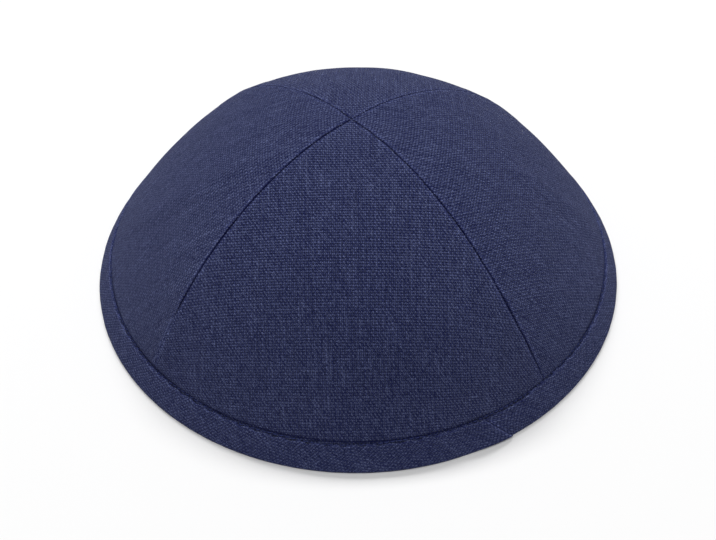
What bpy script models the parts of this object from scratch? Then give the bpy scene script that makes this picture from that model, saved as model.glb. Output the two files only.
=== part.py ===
# A four-panel skullcap of woven cloth, bound at the rim with a folded strip of the same cloth.
# Metres, +Z up. The cap rests on z = 0 round the Z axis, with its front panel facing -Y.
# Azimuths are in degrees round Z, from -Y (0) towards +X (90).
import math

import bmesh
import bpy

# Overall form
RIM_RADIUS = 0.0831  # widest reach of the bound rim
CROWN_HEIGHT = 0.0559  # from the floor to the crown's outside, at its middle
CROWN_FOOT_SLOPE = 60.7  # steepness of the crown where it meets the binding, in degrees
CROWN_OFFSET = 0.0012  # how far the middle of the crown leans towards -X

# Cloth
PANEL_WALL = 0.0012
GAP = 0.0003  # between neighbouring pieces

# Seams between the panels
SEAM_DITCH = 0.0005  # depth of the groove along a seam
DITCH_WIDTH = 0.0012  # from the seam to where the groove ends
ALLOWANCE_WIDTH = 0.0060  # turned cloth along each seam, on the inside
ALLOWANCE_WALL = 0.0006
ALLOWANCE_STEP = 0.0010  # over which the turned cloth's edge slopes off
APEX_DIP = 0.0009
APEX_DIP_RADIUS = 0.0080

# Binding
BAND_WIDTH = 0.0090  # from its upper edge down its slope to the floor
BAND_SLOPE = 58.0  # in degrees from the floor
BAND_LEAF = 0.0010  # each of the two leaves that hold the panels between them
FOLD_RADIUS_OUTER = 0.00065
FOLD_RADIUS_INNER = 0.0010
BAND_SWELL = 0.0002  # how far the outer leaf rounds out between its edge and its fold
TUCK_LENGTH = 0.0030  # over which the crown draws in under the binding's edge

# Lap where the two ends of the binding strip meet
LAP_RISE = 0.0007
LAP_LENGTH = 0.0120  # over which the upper end thickens, along the rim
LAP_EDGE = 0.0004  # width of the drop at the cut end
LAP_AZIMUTH = 31.6
LAP_SLANT = 5.5  # azimuth that the cut end covers from the upper edge to the floor

# Each seam: where it meets the rim, and how far it bows and sways sideways on its way up, as azimuth.
SEAM_COLUMNS = ("name", "azimuth", "bow", "sway")
SEAMS = (
    ("front_left", -45.0, 0.0, 0.0),
    ("front_right", 45.0, -1.0, 0.47),
    ("back_right", 135.0, 0.0, 0.0),
    ("back_left", 225.0, 0.0, 0.0),
)

# A panel lies flatter than the round between its seams: how far its middle lies inside them, as a share
# of the radius there, towards the top and towards the foot.
FLATNESS_TOP = 0.025
FLATNESS_FOOT = 0.051

# Soft ridges left by folding the cap flat. Places are azimuths and shares of the crown's arc, height is
# a share of PANEL_WALL and width a share of RIM_RADIUS.
RIDGE_COLUMNS = ("top_azimuth", "top_along", "foot_azimuth", "foot_along", "height", "width")
RIDGES = (
    (-58.0, 0.16, -87.0, 0.96, 0.45, 0.085),
    (86.0, 0.45, 91.0, 0.97, 0.45, 0.085),
)
RIDGE_FADE = 0.25  # share of its length over which each end of a ridge dies away

# Shallow hollows and swellings of the crown, in the same shares; a hollow's height is negative.
DENT_COLUMNS = ("azimuth", "along", "height", "width")
DENTS = (
    (10.0, 0.90, -0.35, 0.20),
    (-12.0, 0.55, 0.30, 0.28),
    (70.0, 0.80, -0.35, 0.16),
    (-66.0, 0.72, -0.35, 0.16),
    (165.0, 0.40, 0.35, 0.22),
    (-150.0, 0.75, -0.30, 0.22),
)

# The binding's upper edge isn't quite level: centre and half span in degrees, and how far it comes
# down, as a share of BAND_WIDTH.
EDGE_COLUMNS = ("azimuth", "half_span", "drop")
EDGE_WAVER = ((-4.0, 32.0, 0.06), (47.0, 13.0, -0.07), (-110.0, 40.0, 0.03), (170.0, 45.0, -0.03))

# The crown is fully drawn in a little above the binding's edge, so that the edge can waver over it.
TUCK_MARGIN = 0.1  # share of BAND_WIDTH

# Fineness of the meshes
PANEL_MIDDLE_COLUMNS = 7
PANEL_ROWS = 15
TUCK_ROWS = 4
SKIRT_ROWS = 2
BAND_STEPS = 84
LAP_STEPS = (-1.0, -0.55, -0.25, -0.08)  # columns that lead up to the cut end, as shares of LAP_LENGTH
SWELL_STEPS = (0.35, 0.65)  # points of the outer leaf's face, as shares of BAND_WIDTH
ARC_STEPS = 3
ARC_SAMPLES = 240
SHARP_ANGLE = 50.0

LINEN_COLOUR = (0.052, 0.062, 0.140, 1.0)
BINDING_COLOUR = (0.047, 0.056, 0.128, 1.0)
LINEN_ROUGHNESS = 0.92


def rows(columns, table):
    return [dict(zip(columns, values)) for values in table]


def smooth(share):
    """Eased step from 0 to 1."""
    share = min(max(share, 0.0), 1.0)
    return share * share * (3.0 - 2.0 * share)


def swell(distance):
    """Round bump, 1 at distance 0 and 0 from distance 1 on."""
    return (1.0 - distance * distance) ** 2 if abs(distance) < 1.0 else 0.0


def turn_between(azimuth, other):
    """Smallest turn from one azimuth to another, in degrees."""
    return (azimuth - other + 180.0) % 360.0 - 180.0


def at(radius, azimuth, height):
    angle = math.radians(azimuth)
    return (radius * math.sin(angle), -radius * math.cos(angle), height)


def panel_inset(share):
    """How far a panel's middle lies inside its seams, as a share of the radius, at a share of the arc."""
    return 4.0 * share * (1.0 - share) * (FLATNESS_TOP * (1.0 - share) + FLATNESS_FOOT * share)


# The binding's slope as a line in the radius and height plane. "down" runs along it from its upper
# edge, and "out" is square to it, away from the head.
SLOPE_COS = math.cos(math.radians(BAND_SLOPE))
SLOPE_SIN = math.sin(math.radians(BAND_SLOPE))
OUTER_TANGENT = FOLD_RADIUS_OUTER * (1.0 + SLOPE_COS) / SLOPE_SIN
INNER_TANGENT = FOLD_RADIUS_INNER * (1.0 - SLOPE_COS) / SLOPE_SIN
FLOOR_RADIUS = RIM_RADIUS - FOLD_RADIUS_OUTER + OUTER_TANGENT
BAND_TOP_RADIUS = FLOOR_RADIUS - BAND_WIDTH * SLOPE_COS
BAND_TOP_HEIGHT = BAND_WIDTH * SLOPE_SIN
PANEL_OUTSIDE = BAND_LEAF + GAP
PANEL_INSIDE = PANEL_OUTSIDE + PANEL_WALL
BAND_THICKNESS = PANEL_INSIDE + GAP + BAND_LEAF


def on_slope(down, out):
    return (
        BAND_TOP_RADIUS + down * SLOPE_COS + out * SLOPE_SIN,
        BAND_TOP_HEIGHT - down * SLOPE_SIN + out * SLOPE_COS,
    )


# The lowest corner of the pocket between the leaves stays one leaf above the floor.
POCKET_DEPTH = (BAND_TOP_HEIGHT - BAND_LEAF - (BAND_THICKNESS - BAND_LEAF) * SLOPE_COS) / SLOPE_SIN
SKIRT_LENGTH = POCKET_DEPTH - GAP


def crown_arc():
    """Samples (distance from the middle, radius, height, slope) of the elliptical arc of the crown.

    It starts level at CROWN_HEIGHT and reaches the binding's upper edge at CROWN_FOOT_SLOPE.
    """
    drop = CROWN_HEIGHT - BAND_TOP_HEIGHT
    steepness = math.tan(math.radians(CROWN_FOOT_SLOPE)) * BAND_TOP_RADIUS / drop
    end = math.acos(1.0 / (steepness - 1.0))
    half_width = BAND_TOP_RADIUS / math.sin(end)
    half_height = drop / (1.0 - math.cos(end))
    samples = []
    distance = 0.0
    for index in range(ARC_SAMPLES + 1):
        angle = end * index / ARC_SAMPLES
        radius = half_width * math.sin(angle)
        height = CROWN_HEIGHT - half_height * (1.0 - math.cos(angle))
        slope = math.atan2(half_height * math.sin(angle), half_width * math.cos(angle))
        if samples:
            distance += math.hypot(radius - samples[-1][1], height - samples[-1][2])
        samples.append((distance, radius, height, slope))
    return samples


CROWN_ARC = crown_arc()
ARC_LENGTH = CROWN_ARC[-1][0]
TUCK_END = ARC_LENGTH - TUCK_MARGIN * BAND_WIDTH
TUCK_START = TUCK_END - TUCK_LENGTH


def arc_point(distance):
    """(radius, height, slope) of the crown at a distance down its arc."""
    place = 0
    while place < ARC_SAMPLES - 1 and CROWN_ARC[place + 1][0] < distance:
        place += 1
    low, high = CROWN_ARC[place], CROWN_ARC[place + 1]
    part = (distance - low[0]) / (high[0] - low[0])
    return tuple(a + (b - a) * part for a, b in zip(low[1:], high[1:]))


def tucked(distance):
    return smooth((distance - TUCK_START) / TUCK_LENGTH)


def seam_azimuth(seam, share):
    bow = seam["bow"] * math.sin(math.pi * share)
    return seam["azimuth"] + bow + seam["sway"] * math.sin(2.0 * math.pi * share)


def ridge_height(azimuth, distance):
    """Height added by the ridges and dents, along the crown's normal."""
    share = distance / ARC_LENGTH
    radius = arc_point(distance)[0]
    total = 0.0
    for ridge in rows(RIDGE_COLUMNS, RIDGES):
        run = (share - ridge["top_along"]) / (ridge["foot_along"] - ridge["top_along"])
        crest = ridge["top_azimuth"] + (ridge["foot_azimuth"] - ridge["top_azimuth"]) * run
        aside = radius * math.radians(turn_between(azimuth, crest))
        ends = smooth(run / RIDGE_FADE) * smooth((1.0 - run) / RIDGE_FADE)
        total += ridge["height"] * ends * swell(aside / (ridge["width"] * RIM_RADIUS))
    for dent in rows(DENT_COLUMNS, DENTS):
        aside = radius * math.radians(turn_between(azimuth, dent["azimuth"]))
        along = distance - dent["along"] * ARC_LENGTH
        total += dent["height"] * swell(math.hypot(aside, along) / (dent["width"] * RIM_RADIUS))
    return total * PANEL_WALL


def crown_point(azimuth, distance, across, depth):
    """Point of a panel, depth below its outside.

    across runs from -1 to 1 between the panel's seams. Past the crown's arc the panel follows the
    binding's slope down into its pocket.
    """
    if distance > ARC_LENGTH:
        radius, height = on_slope(distance - ARC_LENGTH, -PANEL_OUTSIDE - depth)
        return at(radius, azimuth, height)
    radius, height, slope = arc_point(distance)
    free = 1.0 - tucked(distance)
    from_seam = 1.0 - across * across
    radius *= 1.0 - panel_inset(distance / ARC_LENGTH) * from_seam * free
    inwards = depth + PANEL_OUTSIDE * (1.0 - free)
    inwards -= ridge_height(azimuth, distance) * free
    inwards += APEX_DIP * swell(distance / APEX_DIP_RADIUS)
    slope += (math.radians(BAND_SLOPE) - slope) * (1.0 - free)
    x, y, z = at(radius - inwards * math.sin(slope), azimuth, height - inwards * math.cos(slope))
    share = distance / ARC_LENGTH
    return (x - CROWN_OFFSET * (1.0 - smooth(share)), y, z)


def row_distances():
    """Distances down the crown of a panel's rows, from its tip to its hem."""
    tip = GAP / math.sqrt(2.0)
    crown = [tip + (TUCK_START - tip) * index / PANEL_ROWS for index in range(PANEL_ROWS)]
    tuck = [TUCK_START + TUCK_LENGTH * index / TUCK_ROWS for index in range(TUCK_ROWS + 1)]
    skirt = [ARC_LENGTH + SKIRT_LENGTH * index / SKIRT_ROWS for index in range(SKIRT_ROWS + 1)]
    return crown + tuck + skirt


def side_distances():
    """Distances from a seam of a panel's columns, seam first."""
    return [0.0, 0.4 * DITCH_WIDTH, DITCH_WIDTH, ALLOWANCE_WIDTH, ALLOWANCE_WIDTH + ALLOWANCE_STEP]


def column_distance(column, columns, half_width):
    """How far a column lies from the panel's middle, with its sign.

    The outer columns keep their real distance from the seam where the panel is wide enough, and
    draw together in the same order towards its tip.
    """
    sides = side_distances()
    half = columns / 2.0
    from_edge = min(column, columns - column)
    if from_edge < len(sides):
        from_seam = min(sides[from_edge], half_width * from_edge / half)
    else:
        last = min(sides[-1], half_width * (len(sides) - 1) / half)
        part = (from_edge - len(sides) + 1) / (half - len(sides) + 1)
        from_seam = last + (half_width - last) * part
    return (half_width - from_seam) * (-1.0 if column < half else 1.0)


def allowance(from_seam, distance):
    """Thickness of the turned cloth: full by the seam, trimmed at the tip and before the binding."""
    edge = 1.0 - smooth((from_seam - ALLOWANCE_WIDTH) / ALLOWANCE_STEP)
    tip = smooth((distance - APEX_DIP_RADIUS) / APEX_DIP_RADIUS)
    foot = 1.0 - smooth((distance - TUCK_START + 2.0 * TUCK_LENGTH) / (2.0 * TUCK_LENGTH))
    return ALLOWANCE_WALL * edge * tip * foot


def panel_points(left_seam, right_seam, distance, columns):
    """(outside, inside) points of one row of a panel."""
    share = min(distance / ARC_LENGTH, 1.0)
    left = seam_azimuth(left_seam, share)
    right = left + (seam_azimuth(right_seam, share) - left) % 360.0
    middle = (left + right) / 2.0
    half_turn = math.radians(right - left) / 2.0
    radius = arc_point(min(distance, ARC_LENGTH))[0]
    half_gap = math.asin(min(GAP / 2.0 / radius, math.sin(half_turn)))
    half_width = radius * (half_turn - half_gap)
    points = []
    for column in range(columns + 1):
        aside = column_distance(column, columns, half_width)
        azimuth = middle + math.degrees(aside / radius)
        across = aside / (radius * half_turn)
        from_seam = half_width - abs(aside)
        groove = (1.0 - min(from_seam / DITCH_WIDTH, 1.0)) ** 2
        groove *= SEAM_DITCH * (1.0 - tucked(distance)) * smooth(distance / DITCH_WIDTH)
        below = PANEL_WALL + allowance(from_seam, distance)
        outside = crown_point(azimuth, distance, across, groove)
        inside = crown_point(azimuth, distance, across, below)
        points.append((outside, inside))
    return points


def cloth(name, colour):
    material = bpy.data.materials.new(name)
    material.use_nodes = True
    shader = material.node_tree.nodes["Principled BSDF"]
    shader.inputs["Base Color"].default_value = colour
    shader.inputs["Roughness"].default_value = LINEN_ROUGHNESS
    shader.inputs["Metallic"].default_value = 0.0
    material.diffuse_color = colour
    return material


def finish(bm, name, colour, holder):
    """Turns a closed mesh into a named object with its own cloth."""
    bmesh.ops.recalc_face_normals(bm, faces=bm.faces)
    mesh = bpy.data.meshes.new(name)
    bm.to_mesh(mesh)
    bm.free()
    mesh.shade_smooth()
    mesh.set_sharp_from_angle(angle=math.radians(SHARP_ANGLE))
    piece = bpy.data.objects.new(name, mesh)
    piece.data.materials.append(cloth(name + "_linen", colour))
    piece.parent = holder
    bpy.context.scene.collection.objects.link(piece)
    return piece


def make_panel(name, left_seam, right_seam, holder):
    """A gore: a grid laid on the crown, closed to a point at the tip and given its wall inwards."""
    distances = row_distances()
    columns = 2 * (len(side_distances()) - 1) + PANEL_MIDDLE_COLUMNS + 1
    last_row = len(distances) - 1
    bm = bmesh.new()
    row_of = bm.verts.layers.int.new("row")
    column_of = bm.verts.layers.int.new("column")
    bmesh.ops.create_grid(bm, x_segments=columns, y_segments=last_row, size=0.5)
    lines = [panel_points(left_seam, right_seam, distance, columns) for distance in distances]
    for vert in bm.verts:
        vert[column_of] = round((vert.co.x + 0.5) * columns)
        vert[row_of] = round((vert.co.y + 0.5) * last_row)
        vert.co = lines[vert[row_of]][vert[column_of]][0]
    tip = [vert for vert in bm.verts if vert[row_of] == 0]
    bmesh.ops.pointmerge(bm, verts=tip, merge_co=tip[0].co)
    wall = bmesh.ops.extrude_face_region(bm, geom=bm.faces[:], use_keep_orig=True)
    for vert in wall["geom"]:
        if isinstance(vert, bmesh.types.BMVert):
            vert.co = lines[vert[row_of]][vert[column_of]][1]
    return finish(bm, name, LINEN_COLOUR, holder)


def arc(centre, radius, start, end):
    """Points round a centre in the radius and height plane, from one angle to another, in degrees."""
    points = []
    for index in range(ARC_STEPS + 1):
        angle = math.radians(start + (end - start) * index / ARC_STEPS)
        points.append((centre[0] + radius * math.cos(angle), centre[1] + radius * math.sin(angle)))
    return points


def band_section():
    """Outline of the binding as rows (radius, height, lift, edge).

    lift is how far a point follows the lap of the strip's ends outwards, and edge how far it follows
    the wavering upper edge down.
    """
    out_angle = 90.0 - BAND_SLOPE
    half_leaf = BAND_LEAF / 2.0
    outer_lip = on_slope(half_leaf, -half_leaf)
    lip_turn = (half_leaf, out_angle + 180.0, out_angle)
    outline = [(r, z, 1.0, 1.0) for r, z in arc(outer_lip, *lip_turn)]
    for share in SWELL_STEPS:
        bulge = BAND_SWELL * math.sin(math.pi * share)
        outline.append((*on_slope(share * BAND_WIDTH, bulge), 1.0, 1.0 - share))
    outer_centre = (FLOOR_RADIUS - OUTER_TANGENT, FOLD_RADIUS_OUTER)
    for r, z in arc(outer_centre, FOLD_RADIUS_OUTER, out_angle, -90.0):
        outline.append((r, z, min(z / FOLD_RADIUS_OUTER, 1.0), 0.0))
    inner_floor = FLOOR_RADIUS - BAND_THICKNESS / SLOPE_SIN
    inner_centre = (inner_floor + INNER_TANGENT, FOLD_RADIUS_INNER)
    inner_fold = arc(inner_centre, FOLD_RADIUS_INNER, -90.0, out_angle - 180.0)
    outline += [(r, z, 0.0, 0.0) for r, z in inner_fold]
    inner_lip = on_slope(half_leaf, half_leaf - BAND_THICKNESS)
    outline += [(r, z, 0.0, 0.0) for r, z in arc(inner_lip, *lip_turn)]
    outline.append((*on_slope(POCKET_DEPTH, BAND_LEAF - BAND_THICKNESS), 0.0, 0.0))
    outline.append((*on_slope(POCKET_DEPTH, -BAND_LEAF), 0.0, 0.0))
    return outline


def band_azimuths():
    """Azimuths of the binding's columns, closer together round the lap."""
    edge = math.degrees(LAP_EDGE / RIM_RADIUS)
    length = math.degrees(LAP_LENGTH / RIM_RADIUS)
    lap = [step * length for step in LAP_STEPS] + [0.0, edge]
    lap += [edge - step * length for step in reversed(LAP_STEPS)]
    first, last = lap[0], lap[-1]
    plain = BAND_STEPS - len(lap) + 1
    around = [last + (360.0 - last + first) * index / plain for index in range(1, plain)]
    return lap + around


def lap_rise(from_edge):
    """Height of the lap at a turn from its cut end, in degrees: rising towards it, gone past it."""
    length = math.degrees(LAP_LENGTH / RIM_RADIUS)
    if from_edge > 0.5 * math.degrees(LAP_EDGE / RIM_RADIUS):
        return 0.0
    return LAP_RISE * smooth(1.0 + from_edge / length)


def edge_drop(azimuth):
    """How far the binding's upper edge comes down at an azimuth."""
    drop = 0.0
    for wave in rows(EDGE_COLUMNS, EDGE_WAVER):
        drop += wave["drop"] * swell(turn_between(azimuth, wave["azimuth"]) / wave["half_span"])
    return drop * BAND_WIDTH


def make_band(holder):
    """The binding: its section is spun round the rim, then follows the lap and its uneven edge."""
    section = band_section()
    azimuths = band_azimuths()
    slant_reach = math.degrees(LAP_LENGTH / RIM_RADIUS)
    bm = bmesh.new()
    corner_of = bm.verts.layers.int.new("corner")
    start = []
    for index, (radius, height, _, _) in enumerate(section):
        vert = bm.verts.new(at(radius, 0.0, height))
        vert[corner_of] = index
        start.append(vert)
    outline = [bm.edges.new((vert, start[index - 1])) for index, vert in enumerate(start)]
    bmesh.ops.spin(
        bm,
        geom=start + outline,
        cent=(0.0, 0.0, 0.0),
        axis=(0.0, 0.0, 1.0),
        angle=math.tau,
        steps=BAND_STEPS,
        use_merge=True,
    )
    step = 360.0 / BAND_STEPS
    for vert in bm.verts:
        turned = math.degrees(math.atan2(vert.co.x, -vert.co.y)) % 360.0
        from_lap = azimuths[round(turned / step) % BAND_STEPS]
        radius, height, lift, edge = section[vert[corner_of]]
        reach = 1.0 - min(abs(turn_between(from_lap, 0.0)) / slant_reach, 1.0)
        down_share = 0.5 - height / BAND_TOP_HEIGHT
        azimuth = LAP_AZIMUTH + from_lap + LAP_SLANT * reach * down_share
        rise = lap_rise(turn_between(from_lap, 0.0)) * lift
        drop = edge_drop(azimuth) * edge
        radius += rise * SLOPE_SIN + drop * SLOPE_COS
        height += rise * SLOPE_COS - drop * SLOPE_SIN
        vert.co = at(radius, azimuth, height)
    return finish(bm, "rim_band", BINDING_COLOUR, holder)


def main():
    for old in list(bpy.data.objects):
        bpy.data.objects.remove(old, do_unlink=True)
    holder = bpy.data.objects.new("skullcap", None)
    bpy.context.scene.collection.objects.link(holder)
    seams = {seam["name"]: seam for seam in rows(SEAM_COLUMNS, SEAMS)}
    make_panel("panel_front", seams["front_left"], seams["front_right"], holder)
    make_panel("panel_right", seams["front_right"], seams["back_right"], holder)
    make_panel("panel_back", seams["back_right"], seams["back_left"], holder)
    make_panel("panel_left", seams["back_left"], seams["front_left"], holder)
    make_band(holder)


main()
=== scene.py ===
# Linen skullcap: four crown panels, a bias-cut binding round the rim and its stitching.
# Lengths are metres, +Z is up and the front panel faces -Y. Azimuths are degrees from -Y towards +X.
import math

import bpy
import numpy as np
from mathutils import Matrix, Vector, noise


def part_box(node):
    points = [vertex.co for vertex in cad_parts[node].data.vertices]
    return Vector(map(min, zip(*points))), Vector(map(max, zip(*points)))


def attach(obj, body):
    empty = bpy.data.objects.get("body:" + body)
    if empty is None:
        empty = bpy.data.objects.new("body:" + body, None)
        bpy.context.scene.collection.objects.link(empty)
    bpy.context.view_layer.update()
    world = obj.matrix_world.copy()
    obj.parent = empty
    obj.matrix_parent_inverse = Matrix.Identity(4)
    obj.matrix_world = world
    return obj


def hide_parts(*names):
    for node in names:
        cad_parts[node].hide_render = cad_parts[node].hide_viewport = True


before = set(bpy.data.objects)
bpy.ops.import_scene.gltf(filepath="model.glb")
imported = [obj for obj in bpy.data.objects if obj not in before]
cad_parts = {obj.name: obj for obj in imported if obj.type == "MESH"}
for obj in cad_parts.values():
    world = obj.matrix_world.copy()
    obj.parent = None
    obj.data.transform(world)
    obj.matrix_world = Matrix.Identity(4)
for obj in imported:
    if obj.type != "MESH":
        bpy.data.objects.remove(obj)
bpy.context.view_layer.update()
rimLow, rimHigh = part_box("rim_band")
rimRadius = (rimHigh[0] - rimLow[0]) / 2
print("frame loaded, rim radius", round(rimRadius, 5))


# Shared helpers

def smooth(share):
    share = np.clip(share, 0.0, 1.0)
    return share * share * (3.0 - 2.0 * share)


def swell(distance):
    return np.where(np.abs(distance) < 1.0, (1.0 - np.minimum(distance * distance, 1.0)) ** 2, 0.0)


def turnBetween(azimuth, other):
    return (azimuth - other + 180.0) % 360.0 - 180.0


def around(radius, azimuth, height):
    angle = np.radians(azimuth)
    return np.stack(np.broadcast_arrays(radius * np.sin(angle), -radius * np.cos(angle), height), -1)


def noiseOver(first, second, seed):  # smooth noise from -1 to 1 over two arrays of coordinates
    first, second = np.broadcast_arrays(first, second)
    values = [noise.noise(Vector((a, b, seed))) for a, b in zip(first.ravel(), second.ravel())]
    return np.array(values).reshape(first.shape)


def deselectAll():
    if bpy.context.mode != "OBJECT":
        bpy.ops.object.mode_set(mode="OBJECT")
    bpy.ops.object.select_all(action="DESELECT")


def activate(piece):
    deselectAll()
    piece.select_set(True)
    bpy.context.view_layer.objects.active = piece


def setPoints(mesh, points):
    mesh.vertices.foreach_set("co", np.asarray(points, np.float32).ravel())
    mesh.update()


def getPoints(mesh):
    points = np.empty(len(mesh.vertices) * 3, np.float32)
    mesh.vertices.foreach_get("co", points)
    return points.reshape(-1, 3).astype(float)


def addPointValues(mesh, name, values, kind="FLOAT"):
    layer = mesh.attributes.new(name, kind, "POINT")
    layer.data.foreach_set("value", np.asarray(values).ravel())


def getPointValues(mesh, name):
    values = np.empty(len(mesh.vertices), np.int32)
    mesh.attributes[name].data.foreach_get("value", values)
    return values


# Form of the crown, the same arc as the frame's solids

crown = {
    "height": 0.0559,
    "footSlope": 60.7,       # of the arc where it meets the binding, in degrees
    "lean": 0.0012,          # of its middle, towards -X
    "wall": 0.0011,
    "gap": 0.0001,           # between two panels, inside the seam
    "flatTop": 0.025,        # how far a panel's middle lies inside its seams, as shares of the radius
    "flatFoot": 0.051,
    "apexDip": 0.0003,
    "apexDipRadius": 0.0080,
    "seamRoll": 0.00040,     # radius of the cloth's turn down into a seam
    "allowanceWidth": 0.0060,
    "allowanceWall": 0.0006,
    "allowanceEdge": 0.0012, # width of the allowance's trimmed edge
    "allowanceTrim": 0.0040, # how far above the tuck it is trimmed away
    "allowancePad": 0.00012, # how far the turned cloth shows on the outside
    "tuckLength": 0.0015,
    "tuckMargin": 0.0005,
    "clothRadius": 0.0965,   # of the ball that the panels' grain is laid on
}
band = {
    "width": 0.0090,
    "slope": 58.0,           # of its outer leaf, in degrees
    "leaf": 0.00062,
    "gap": 0.00008,
    "foldOuter": 0.00065,
    "foldInner": 0.0010,
    "swell": 0.00022,
    "swellRound": 0.7,       # how full the leaf's swell is towards its edges, lower is fuller
    "lapAzimuth": 31.6,
    "lapSlant": 5.5,
    "lapRise": 0.00070,
    "lapLength": 0.0120,
    "lapDip": 0.00022,
    "lapDipPlace": 0.9,      # the dip's place before the edge and half length, as shares of the lap's length
    "lapDipSpan": 0.6,
    "lapRound": 0.00025,
}
noiseSeeds = {
    "waves": 10.3,
    "footPucker": 5.5,
    "seamPucker": 20.0,
    "seamOpening": 60.0,
    "bandPucker": 41.0,
    "bandEdge": 31.0,
    "stitchesOutside": 3.0,
    "stitchesInside": 7.0,
    "stitchWander": 0.5,
    "stitchTilt": 2.5,
}

slopeCos = math.cos(math.radians(band["slope"]))
slopeSin = math.sin(math.radians(band["slope"]))
outerTangent = band["foldOuter"] * (1.0 + slopeCos) / slopeSin
floorRadius = rimRadius - band["foldOuter"] + outerTangent
bandTopRadius = floorRadius - band["width"] * slopeCos
bandTopHeight = band["width"] * slopeSin
panelOutside = band["leaf"] + band["gap"]
bandThickness = 2.0 * panelOutside + crown["wall"]


def onSlope(down, out):  # radius and height of a point placed by the binding's slope
    return bandTopRadius + down * slopeCos + out * slopeSin, bandTopHeight - down * slopeSin + out * slopeCos


pocketDepth = (bandTopHeight - band["leaf"] - (bandThickness - band["leaf"]) * slopeCos) / slopeSin
skirtLength = pocketDepth - band["gap"]


def crownArc(samples=600):
    drop = crown["height"] - bandTopHeight
    steepness = math.tan(math.radians(crown["footSlope"])) * bandTopRadius / drop
    end = math.acos(1.0 / (steepness - 1.0))
    halfWidth = bandTopRadius / math.sin(end)
    halfHeight = drop / (1.0 - math.cos(end))
    angle = np.linspace(0.0, end, samples + 1)
    radius = halfWidth * np.sin(angle)
    height = crown["height"] - halfHeight * (1.0 - np.cos(angle))
    slope = np.arctan2(halfHeight * np.sin(angle), halfWidth * np.cos(angle))
    steps = np.hypot(np.diff(radius), np.diff(height))
    return np.concatenate([[0.0], np.cumsum(steps)]), radius, height, slope


arcDistance, arcRadius, arcHeight, arcSlope = crownArc()
arcLength = arcDistance[-1]
tuckEnd = arcLength - crown["tuckMargin"]
tuckStart = tuckEnd - crown["tuckLength"]


def tucked(distance):
    return smooth((distance - tuckStart) / crown["tuckLength"])


seams = {
    # azimuth at the rim, bow and sway of the seam on its way up in degrees, share of the puckers' height,
    # and how open its groove is at the top, below it and, from a share of the arc on, towards the foot
    "frontLeft": {"azimuth": -45.0, "bow": 0.0, "sway": 0.0, "seed": 1.0, "pucker": 1.0,
                  "topOpen": 0.90, "open": 0.90, "footOpen": 0.15, "footFrom": 0.70},
    "frontRight": {"azimuth": 45.0, "bow": -1.0, "sway": 0.47, "seed": 2.0, "pucker": 1.5,
                   "topOpen": 0.85, "open": 0.75, "footOpen": 0.75, "footFrom": 0.70},
    "backRight": {"azimuth": 135.0, "bow": 0.0, "sway": 0.0, "seed": 3.0, "pucker": 1.0,
                  "topOpen": 0.35, "open": 0.48, "footOpen": 0.80, "footFrom": 0.38},
    "backLeft": {"azimuth": 225.0, "bow": 0.0, "sway": 0.0, "seed": 4.0, "pucker": 1.0,
                 "topOpen": 0.75, "open": 0.40, "footOpen": 0.80, "footFrom": 0.38},
}
groove = {
    "topLength": 0.010,      # over which a seam goes from "topOpen" to "open"
    "footShare": 0.20,       # share of the arc over which it goes on to "footOpen"
    "uneven": 0.6,           # how far the openness wanders along the seam
    "unevenLength": 0.011,
    "least": 0.12,
    "underBinding": 0.35,    # share of the openness that is left under the binding
    "startRolls": 4.0,       # length of the groove's start at the top, in radii of the seam's roll
    "closedShift": 0.0005,   # added to the distance from a seam that isn't open, for its painted shade
}


def seamAzimuth(seam, share):
    bow = seam["bow"] * np.sin(math.pi * share)
    return seam["azimuth"] + bow + seam["sway"] * np.sin(2.0 * math.pi * share)


ridges = [  # left by folding the cap flat, each from "top" to "foot" as shares of the arc
    {"topAzimuth": -58.0, "top": 0.16, "footAzimuth": -87.0, "foot": 0.96},
    {"topAzimuth": 86.0, "top": 0.45, "footAzimuth": 91.0, "foot": 0.97},
]
dents = [  # place as azimuth and share of the arc, height and half width in metres
    {"azimuth": 10.0, "along": 0.90, "height": -0.00042, "width": 0.0166},
    {"azimuth": -12.0, "along": 0.55, "height": 0.00036, "width": 0.0232},
    {"azimuth": 70.0, "along": 0.80, "height": -0.00042, "width": 0.0133},
    {"azimuth": -66.0, "along": 0.72, "height": -0.00042, "width": 0.0133},
    {"azimuth": 165.0, "along": 0.40, "height": 0.00042, "width": 0.0183},
    {"azimuth": -150.0, "along": 0.75, "height": -0.00036, "width": 0.0183},
]
relief = {
    "ridgeHeight": 0.00055,
    "ridgeWidth": 0.0070,
    "ridgeFade": 0.25,
    "waves": ((0.022, 0.00016), (0.009, 0.00007), (0.0035, 0.00002)),  # size and height of the cloth's waves
    "puckerLength": 0.0042,
    "puckerWidth": 0.0060,
    "puckerReach": 0.0035,
    "puckerHeight": 0.00011,
    "footPuckerLength": 0.0050,
    "footPuckerWidth": 0.0120,
    "footPuckerReach": 0.0045,
    "footPuckerHeight": 0.00016,
    "topFade": 0.0040,       # length at the top over which all relief fades out
    "insideShare": 0.7,      # of the relief that shows on the inside
}


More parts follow.
